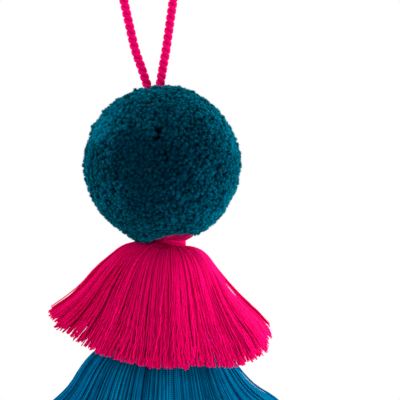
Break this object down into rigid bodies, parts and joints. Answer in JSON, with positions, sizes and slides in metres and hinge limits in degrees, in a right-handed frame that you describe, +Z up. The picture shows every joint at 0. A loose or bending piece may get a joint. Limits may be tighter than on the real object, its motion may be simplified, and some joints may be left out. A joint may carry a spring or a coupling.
{
  "type": "hanging pompom charm with a two-tier thread tassel",
  "caption": "Wool pompom over two tiers of flared thread skirt, hung from a twisted cord loop, as a tassel swag's drop.",
  "frame": {"origin": "where a hook bears, on the inner side of the top of the hanging loop", "axes": "+Z up along the hanging charm, +X to the right and -Y towards a viewer in front"},
  "size_m": [0.1177, 0.0685, 0.2433],
  "materials": {
    "cord": "two-ply twisted cotton cord, matt, slightly fuzzy",
    "wool": "cut wool pile, matt and deep",
    "binding_thread": "wound cotton thread, soft sheen",
    "upper_thread": "fine cotton threads, soft sheen",
    "lower_thread": "fine cotton threads, soft sheen"
  },
  "bodies": {
    "root": {"hanging_loop": "cord", "pompom": "wool", "neck_binding": "binding_thread", "upper_tassel": "upper_thread", "lower_tassel": "lower_thread"}
  },
  "joints": []
}
